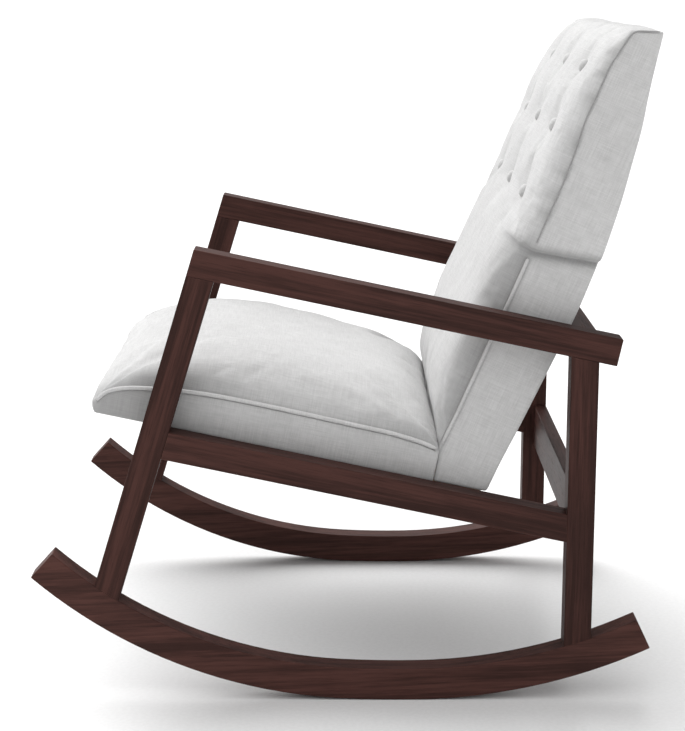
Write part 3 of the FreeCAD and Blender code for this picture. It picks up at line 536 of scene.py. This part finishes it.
def make_trim(seat_skin, back_skin):
    """Piping along the side seams, each with the node it replaces, and dark cords beside the seams
    that paint shadow lines and replace no node.
    """
    made = {}
    for side, column in (("left", -1), ("right", 0)):
        outward = np.array([1.0 if side == "left" else -1.0, 0, 0])
        seat_seam = seat_skin.points[1:, column, -1] + 1.2 * outward
        lower_rows = slice(FOOT_ROWS + 1, LOWER_ROWS + 1)
        lower_seam = back_skin.points[lower_rows, column, -1] + 0.8 * outward
        name = f"seat_piping_{side}"
        made[name] = (tube(name, seat_seam, SEAT_PIPING), f"seat_welt_{side}")
        name = f"back_piping_{side}"
        made[name] = (tube(name, lower_seam, BACK_PIPING), f"back_welt_{side}")
        # Dark cords below the piping and along the upper seams: painted shadow lines at the seams.
        name = f"seat_seam_shadow_{side}"
        below = seat_seam - 0.7 * outward + SEAT_DOWN * 3.7
        made[name] = (tube(name, below, SEAT_SHADOW_CORD), None)
        before = lower_seam - 0.3 * outward + BACK_FORWARD * 3.4
        up_front = back_skin.points[STEP_ROWS - 1:, column, -1]
        over_top = back_skin.points[-1, column, -2:1:-1]
        upper = rounded(np.r_[up_front, over_top])
        seams = [tube("before", before, LOWER_SHADOW_CORD), tube("upper", upper, UPPER_SHADOW_CORD)]
        name = f"back_seam_shadow_{side}"
        made[name] = (join(name, seams), None)
    return made


def covered_button(centre, forward, tx):
    """One covered button: a domed top drawn over a shell, with a tucked rim."""
    across = np.array([1.0, 0, 0])
    up = np.cross(across, forward)
    vertices = [centre + forward * BUTTON_PROFILE[0][1]]
    for radius, height in BUTTON_PROFILE[1:-1]:
        for n in range(BUTTON_SEGMENTS):
            angle = 2 * math.pi * n / BUTTON_SEGMENTS
            gather = 1 + 0.012 * math.sin(angle * 9 + tx) * (radius > 6)
            ring = across * math.cos(angle) + up * math.sin(angle)
            vertices.append(centre + ring * radius * gather + forward * height)
    vertices.append(centre + forward * BUTTON_PROFILE[-1][1])
    count, rings, end = BUTTON_SEGMENTS, len(BUTTON_PROFILE) - 2, len(vertices) - 1
    faces = [(0, 1 + n, 1 + (n + 1) % count) for n in range(count)]
    for r in range(rings - 1):
        a, b = 1 + r * count, 1 + (r + 1) * count
        for n in range(count):
            m = (n + 1) % count
            faces.append((a + n, b + n, b + m, a + m))
    last = 1 + (rings - 1) * count
    faces += [(last + n, end, last + (n + 1) % count) for n in range(count)]
    return new_object("button", vertices, faces)


def make_buttons(cushion):
    """The nine covered buttons, each where the front of the cushion is met."""
    corners = [v.co for v in cushion.data.vertices]
    tree = BVHTree.FromPolygons(corners, [p.vertices for p in cushion.data.polygons])
    forward = Vector(BACK_FORWARD).normalized()
    pieces = []
    for tx, ts in TUFTS:
        start = Vector(in_back(tx, -90, ts) * MM)
        met = np.array(tree.ray_cast(start, -forward)[0]) / MM
        centre = met - np.array(forward) * BUTTON_SUNK
        pieces.append(covered_button(centre, np.array(forward), tx))
    return join("tufting_buttons", pieces)


# ------------------------------------------------------------------ materials

class Graph:
    """Adds nodes to a material and joins them."""

    def __init__(self, name):
        self.material = bpy.data.materials.new(name)
        self.material.use_nodes = True
        self.tree = self.material.node_tree
        self.shader = self.tree.nodes["Principled BSDF"]

    def add(self, kind, inputs=(), **settings):
        """A node of this kind, with values or other nodes at its inputs."""
        node = self.tree.nodes.new("ShaderNode" + kind)
        for key, value in settings.items():
            setattr(node, key, value)
        for key, value in dict(inputs).items():
            self.put(node, key, value)
        return node

    def put(self, node, key, value):
        if isinstance(value, bpy.types.Node):
            value = value.outputs[0]
        if isinstance(value, bpy.types.NodeSocket):
            self.tree.links.new(value, node.inputs[key])
        else:
            node.inputs[key].default_value = value

    def math(self, operation, a, b=0.0):
        return self.add("Math", {0: a, 1: b}, operation=operation)

    def noise(self, vector, scale, detail=2.0, roughness=0.5):
        inputs = {"Vector": vector, "Scale": scale, "Detail": detail, "Roughness": roughness}
        return self.add("TexNoise", inputs)

    def ramp(self, factor, low, high, smooth=True):
        """factor stretched from low..high to 0..1."""
        inputs = {"Value": factor, "From Min": low, "From Max": high}
        return self.add("MapRange", inputs, interpolation_type="SMOOTHSTEP" if smooth else "LINEAR")

    def mix(self, factor, a, b):
        """Colour a where factor is 0, and colour b where it is 1."""
        node = self.add("Mix", data_type="RGBA")
        self.put(node, 0, factor)
        self.put(node, 6, a)
        self.put(node, 7, b)
        return node.outputs[2]

    def local(self, turn, scale=(1, 1, 1)):
        """Object coordinates in metres, turned so that the first axis runs as wanted."""
        where = self.add("TexCoord").outputs["Object"]
        inputs = {"Vector": where, "Rotation": turn, "Scale": scale}
        return self.add("Mapping", inputs, vector_type="TEXTURE")

    def finish(self, colour, roughness, height, depth, strength):
        """The finished material, with height as relief of this depth in metres."""
        self.put(self.shader, "Base Color", colour)
        self.put(self.shader, "Roughness", roughness)
        bump = self.add("Bump", {"Height": height, "Distance": depth, "Strength": strength})
        self.put(self.shader, "Normal", bump)
        return self.material


def shaded(colour, factor):
    """A colour made darker or lighter, with full opacity."""
    return tuple(min(1, c * factor) for c in colour) + (1,)


def wood(name, grain_turn, dark, light, worn, roughness, shine=0.05):
    """Polished timber with its grain along one direction."""
    g = Graph(name)
    where = g.local((0, 0, 0))
    fine = g.local(grain_turn, (0.12, 0.0045, 0.0045))
    pores = g.local(grain_turn, (0.035, 0.0009, 0.0009))
    broad = g.local(grain_turn, (0.42, 0.022, 0.022))
    figure = g.noise(broad, 1.0, 3.0, 0.6)
    grain = g.noise(fine, 1.0, 5.0, 0.62)
    pore = g.ramp(g.noise(pores, 1.0, 2.0, 0.5), 0.56, 0.70)
    tone = g.math("ADD", g.math("MULTIPLY", figure, 0.55), g.math("MULTIPLY", grain, 0.45))
    colour = g.mix(g.ramp(tone, 0.38, 0.62), (*dark, 1), (*light, 1))
    colour = g.mix(g.math("MULTIPLY", pore, 0.4), colour, shaded(dark, 0.45))
    soft = g.add("Bevel", {"Radius": 0.0022}, samples=6)
    facing = g.add("NewGeometry").outputs["Normal"]
    turn = g.add("VectorMath", {0: soft, 1: facing}, operation="DOT_PRODUCT").outputs["Value"]
    edge = g.ramp(turn, 0.985, 0.90)
    rubbed = g.math("MULTIPLY", edge, g.ramp(g.noise(where, 30.0, 3.0), 0.35, 0.7))
    colour = g.mix(g.math("MULTIPLY", rubbed, 0.5), colour, (*worn, 1))
    smudge = g.noise(where, 9.0, 3.0)
    rough = g.math("ADD", roughness, g.math("MULTIPLY", g.math("SUBTRACT", smudge, 0.5), 0.08))
    rough = g.math("ADD", rough, g.math("MULTIPLY", pore, 0.12))
    height = g.math("SUBTRACT", g.math("MULTIPLY", grain, 0.35), g.math("MULTIPLY", pore, 0.65))
    g.shader.inputs["Specular IOR Level"].default_value = shine
    g.shader.inputs["Coat Weight"].default_value = 0.02
    g.shader.inputs["Coat Roughness"].default_value = 0.3
    return g.finish(colour, rough, height, 0.00012, 0.7)


SLUB_ALONG, SLUB_ACROSS = 22, 720
SLUB_APART = 7.0


def weave_plane(g, p, q, pitch, wander):
    """Plain weave over two coordinates: (thread height, slub streaks)."""
    k = 2 * math.pi / pitch
    a = g.math("SINE", g.math("MULTIPLY", g.math("ADD", p, wander), k))
    b = g.math("SINE", g.math("MULTIPLY", g.math("ADD", q, wander), k))
    thread = g.math("MULTIPLY", a, b)
    streaks = []
    for by_p, by_q, apart in ((SLUB_ALONG, SLUB_ACROSS, 0), (SLUB_ACROSS, SLUB_ALONG, SLUB_APART)):
        stretched = {0: g.math("MULTIPLY", p, by_p), 1: g.math("MULTIPLY", q, by_q), 2: apart}
        streaks.append(g.noise(g.add("CombineXYZ", stretched), 1.0, 2.0))
    return thread, g.math("ADD", *streaks)


def linen(name, slope, base, pitch=0.0017, sheen=0.35):
    """Heathered upholstery linen. slope turns the weave into the cushion's own directions."""
    g = Graph(name)
    where = g.local((-slope, 0, 0))
    split = g.add("SeparateXYZ", {0: where})
    x, u, v = split.outputs
    wander = g.math("MULTIPLY", g.math("SUBTRACT", g.noise(where, 55.0, 2.0), 0.5), 0.006)
    facing = g.add("NewGeometry").outputs["Normal"]
    normal = g.add("VectorRotate", {"Vector": facing, "Angle": slope}, rotation_type="X_AXIS")
    n = g.add("SeparateXYZ", {0: normal}).outputs
    weights = [g.math("POWER", g.math("ABSOLUTE", n[i]), 6.0) for i in range(3)]
    total = g.math("ADD", g.math("ADD", weights[0], weights[1]), weights[2])
    thread, slub = None, None
    for weight, (p, q) in zip(weights, ((u, v), (x, v), (x, u))):
        one_thread, one_slub = weave_plane(g, p, q, pitch, wander)
        share = g.math("DIVIDE", weight, total)
        one_thread = g.math("MULTIPLY", one_thread, share)
        one_slub = g.math("MULTIPLY", one_slub, share)
        thread = one_thread if thread is None else g.math("ADD", thread, one_thread)
        slub = one_slub if slub is None else g.math("ADD", slub, one_slub)
    heather = g.noise(where, 95.0, 3.0, 0.65)
    cloud = g.noise(where, 13.0, 3.0, 0.6)
    tone = g.math("ADD", g.math("MULTIPLY", slub, 0.5), g.math("MULTIPLY", heather, 0.35))
    tone = g.math("ADD", tone, g.math("MULTIPLY", cloud, 0.25))
    shade = g.ramp(tone, 0.56, 1.04, smooth=False)
    colour = g.mix(shade, shaded(base, 0.80), shaded(base, 1.12))
    gap = g.ramp(thread, -0.2, -0.95)
    colour = g.mix(g.math("MULTIPLY", gap, 0.28), colour, shaded(base, 0.62))
    # Painted shade: the per-point shade attribute darkens the linen towards 0.3 of its colour.
    painted_shade = g.add("Attribute", attribute_name="painted_shade").outputs["Fac"]
    colour = g.mix(g.math("MULTIPLY", painted_shade, 0.6), colour, shaded(base, 0.3))
    rough = g.math("ADD", 0.82, g.math("MULTIPLY", g.math("SUBTRACT", 1.0, shade), 0.12))
    height = g.math("ADD", g.math("MULTIPLY", thread, 0.5), g.math("MULTIPLY", slub, 0.9))
    g.shader.inputs["Sheen Weight"].default_value = sheen
    g.shader.inputs["Sheen Roughness"].default_value = 0.45
    g.shader.inputs["Specular IOR Level"].default_value = 0.25
    return g.finish(colour, rough, height, 0.0004, 0.55)


def felt(name, base, scale=700.0):
    """Matted fibres for the padding and the dust cover."""
    g = Graph(name)
    where = g.local((0, 0, 0))
    fibre = g.noise(where, scale, 4.0, 0.7)
    fleck = g.noise(where, scale / 9, 3.0)
    shade = g.ramp(g.math("ADD", fibre, g.math("MULTIPLY", fleck, 0.5)), 0.5, 1.0)
    colour = g.mix(shade, shaded(base, 0.7), shaded(base, 1.2))
    rough = g.math("ADD", 0.85, g.math("MULTIPLY", fleck, 0.12))
    return g.finish(colour, rough, fibre, 0.0005, 0.6)


def metal(name, base, rough_level):
    """Zinc-plated steel with faint drawing lines."""
    g = Graph(name)
    lines = g.noise(g.local((0, 0, 0), (0.025, 0.0011, 0.0011)), 1.0, 3.0)
    cloud = g.noise(g.local((0, 0, 0)), 60.0, 3.0)
    colour = g.mix(g.ramp(cloud, 0.3, 0.7), shaded(base, 0.82), (*base, 1))
    rough = g.math("ADD", rough_level, g.math("MULTIPLY", g.math("SUBTRACT", lines, 0.5), 0.25))
    g.shader.inputs["Metallic"].default_value = 1.0
    return g.finish(colour, rough, lines, 0.00005, 0.5)


ESPRESSO_DARK = (0.032, 0.0150, 0.0126)
ESPRESSO_LIGHT = (0.068, 0.0298, 0.0248)
ESPRESSO_WORN = (0.12, 0.062, 0.048)
BEECH_DARK = (0.50, 0.33, 0.19)
BEECH_LIGHT = (0.68, 0.49, 0.31)
BEECH_WORN = (0.78, 0.62, 0.45)
ESPRESSO_ROUGH, BEECH_ROUGH = 0.47, 0.55
CROSS_SHINE = 0.12
RUNNER_PAINTED_LIGHT = 1.25
LINEN_GREY = (0.56, 0.557, 0.555)
# The darker grey of the cords that paint the shadow lines at the seams.
SHADOW_CORD_GREY = (0.33, 0.328, 0.326)
WEBBING_BROWN = (0.10, 0.085, 0.07)
ZINC, SPRING_STEEL = (0.62, 0.62, 0.60), (0.35, 0.35, 0.36)
FELT_BLACK, FELT_GREY = (0.035, 0.035, 0.037), (0.33, 0.32, 0.31)
FRONT_LEG_RAKE = math.radians(17.2)
RUNNER_GRAIN = 0.04


def grain_along(angle):
    """The turn of the grain axis to a direction in the side plane, angle above +Y."""
    return (0, -angle, math.pi / 2)


def finish_nodes():
    """Every CAD node that stays visible gets a material with real detail."""
    espresso = (ESPRESSO_DARK, ESPRESSO_LIGHT, ESPRESSO_WORN, ESPRESSO_ROUGH)
    beech = (BEECH_DARK, BEECH_LIGHT, BEECH_WORN, BEECH_ROUGH)
    sloped = wood("walnut_sloped", grain_along(-SEAT_SLOPE), *espresso)
    raked = wood("walnut_raked", grain_along(math.pi / 2 - FRONT_LEG_RAKE), *espresso)
    upright = wood("walnut_upright", grain_along(math.pi / 2), *espresso)
    # Painted light: the runners' wood is made 1.25 times as light as the rest of the frame,
    # standing in for light that reaches the low runners too little.
    painted_lighter = [tuple(c * RUNNER_PAINTED_LIGHT for c in tone) for tone in (ESPRESSO_DARK, ESPRESSO_LIGHT)]
    worn = (ESPRESSO_WORN, ESPRESSO_ROUGH)
    runner = wood("walnut_runner", grain_along(RUNNER_GRAIN), *painted_lighter, *worn)
    cross = wood("walnut_cross", (0, 0, 0), *espresso, shine=CROSS_SHINE)
    beech_cross = wood("beech_cross", (0, 0, 0), *beech)
    beech_sloped = wood("beech_sloped", grain_along(-SEAT_SLOPE), *beech)
    beech_upright = wood("beech_upright", grain_along(math.pi / 2 - BACK_RECLINE), *beech)
    steel = metal("zinc_steel", ZINC, 0.38)
    spring = metal("spring_steel", SPRING_STEEL, 0.42)
    webbing = linen("webbing", BACK_RECLINE, WEBBING_BROWN, pitch=0.003, sheen=0.1)
    black_felt = felt("dust_cover_felt", FELT_BLACK)
    grey_felt = felt("spring_pad_felt", FELT_GREY)
    by_name = {
        "arm": sloped, "front_leg": raked, "rear_leg": upright, "seat_rail": sloped,
        "rocker": runner, "upper_back_rail": cross, "rear_cross_board": cross,
        "front_seat_support": cross, "rear_seat_support": cross, "frame_dowels": beech_cross,
        "mounting_bolts": steel, "bolt_washers": steel, "threaded_inserts": steel,
        "seat_frame_side": beech_sloped, "seat_frame_front": beech_cross,
        "seat_frame_rear": beech_cross, "seat_corner_blocks": beech_sloped,
        "seat_springs": spring, "seat_spring_clips": steel, "seat_spring_felt": grey_felt,
        "dust_cover": black_felt, "back_upright": beech_upright, "back_bottom_bar": beech_cross,
        "back_middle_bar": beech_cross, "back_top_bar": beech_cross, "back_brackets": steel,
        "back_webbing": webbing, "back_spacer_wedges": beech_cross,
    }
    for name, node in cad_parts.items():
        for start, material in by_name.items():
            if name.startswith(start):
                node.data.materials.clear()
                node.data.materials.append(material)


# ------------------------------------------------------------------ studio

# The surround lights the chair at one strength and is seen white at another.
SURROUND_LIGHT, SURROUND_SEEN = 0.5, 1.1
KEY_SUN = ((-0.7, -0.4, 1.0), 3.5, 60)
FILL_SUN = ((0.9, 0.1, 1.3), 1.0, 70)
FLOOR_HALF = 300000
FLOOR_DARK, FLOOR_LIGHT = (0.80, 0.80, 0.80, 1), (0.83, 0.83, 0.83, 1)
CAMERA_PLACE = (2.717, 0.0013, 1.0014)
CAMERA_DOWN = 12.228
CAMERA_LENS, CAMERA_SENSOR = 88.98, 36


def soft_sun(name, source, strength, angle):
    """Even light from one side of the sky, with soft shadows."""
    data = bpy.data.lights.new(name, "SUN")
    data.energy = strength
    data.angle = math.radians(angle)
    light = bpy.data.objects.new(name, data)
    light.location = source
    light.rotation_euler = Vector(source).to_track_quat("Z", "Y").to_euler()
    bpy.context.scene.collection.objects.link(light)


def make_floor():
    """A wide pale floor, level with the lowest point of the chair."""
    g = Graph("pale_floor")
    grain = g.noise(g.local((0, 0, 0)), 160.0, 3.0)
    colour = g.mix(g.ramp(grain, 0.3, 0.7), FLOOR_DARK, FLOOR_LIGHT)
    g.shader.inputs["Specular IOR Level"].default_value = 0.1
    pale = g.finish(colour, 0.8, grain, 0.0001, 0.3)
    level = CAD_BOX[0].z / MM
    places = ((-1, -1), (1, -1), (1, 1), (-1, 1))
    corners = [(x * FLOOR_HALF, y * FLOOR_HALF, level) for x, y in places]
    floor = new_object("floor", corners, [(0, 1, 2, 3)], smooth=False)
    floor.data.materials.append(pale)


def make_surround():
    """Soft white light from all around, seen as plain white behind the floor."""
    world = bpy.data.worlds.new("surround")
    world.use_nodes = True
    tree = world.node_tree
    seen = tree.nodes.new("ShaderNodeLightPath").outputs["Is Camera Ray"]
    strength = tree.nodes.new("ShaderNodeMapRange")
    strength.inputs["To Min"].default_value = SURROUND_LIGHT
    strength.inputs["To Max"].default_value = SURROUND_SEEN
    tree.links.new(seen, strength.inputs["Value"])
    tree.nodes["Background"].inputs["Color"].default_value = (1, 1, 1, 1)
    tree.links.new(strength.outputs[0], tree.nodes["Background"].inputs["Strength"])
    bpy.context.scene.world = world


def make_camera():
    """The photograph's view: from the sitter's left, a little above the seat."""
    data = bpy.data.cameras.new("camera")
    data.lens = CAMERA_LENS
    data.sensor_width = CAMERA_SENSOR
    camera = bpy.data.objects.new("camera", data)
    camera.location = CAMERA_PLACE
    camera.rotation_euler = (math.radians(90 - CAMERA_DOWN), 0, math.radians(90))
    bpy.context.scene.collection.objects.link(camera)
    bpy.context.scene.camera = camera


# ------------------------------------------------------------------ the chair

finish_nodes()
seat_cushion, seat_skin = make_seat_cushion()
back_cushion, back_skin = make_back_cushion()
trim = make_trim(seat_skin, back_skin)
buttons = make_buttons(back_cushion)

seat_linen = linen("linen_seat", SEAT_SLOPE, LINEN_GREY)
back_linen = linen("linen_back", BACK_RECLINE, LINEN_GREY)
# A darker linen for the cords: painted shadow along the seams.
thread = linen("painted_seam_shadow", BACK_RECLINE, SHADOW_CORD_GREY, pitch=0.0006)

seat_cushion.data.materials.append(seat_linen)
back_cushion.data.materials.append(back_linen)
buttons.data.materials.append(back_linen)
for name, (piece, node) in trim.items():
    plain = seat_linen if name.startswith("seat") else back_linen
    piece.data.materials.append(plain if node else thread)
    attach(piece, "root")
    if node:
        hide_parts(node)

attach(seat_cushion, "root")
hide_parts("seat_cover", "seat_foam")

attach(back_cushion, "root")
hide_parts("back_cover", "back_foam")

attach(buttons, "root")
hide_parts("back_buttons")

make_floor()
make_surround()
soft_sun("key", *KEY_SUN)
soft_sun("fill", *FILL_SUN)
bpy.context.scene.view_settings.view_transform = "Standard"
make_camera()
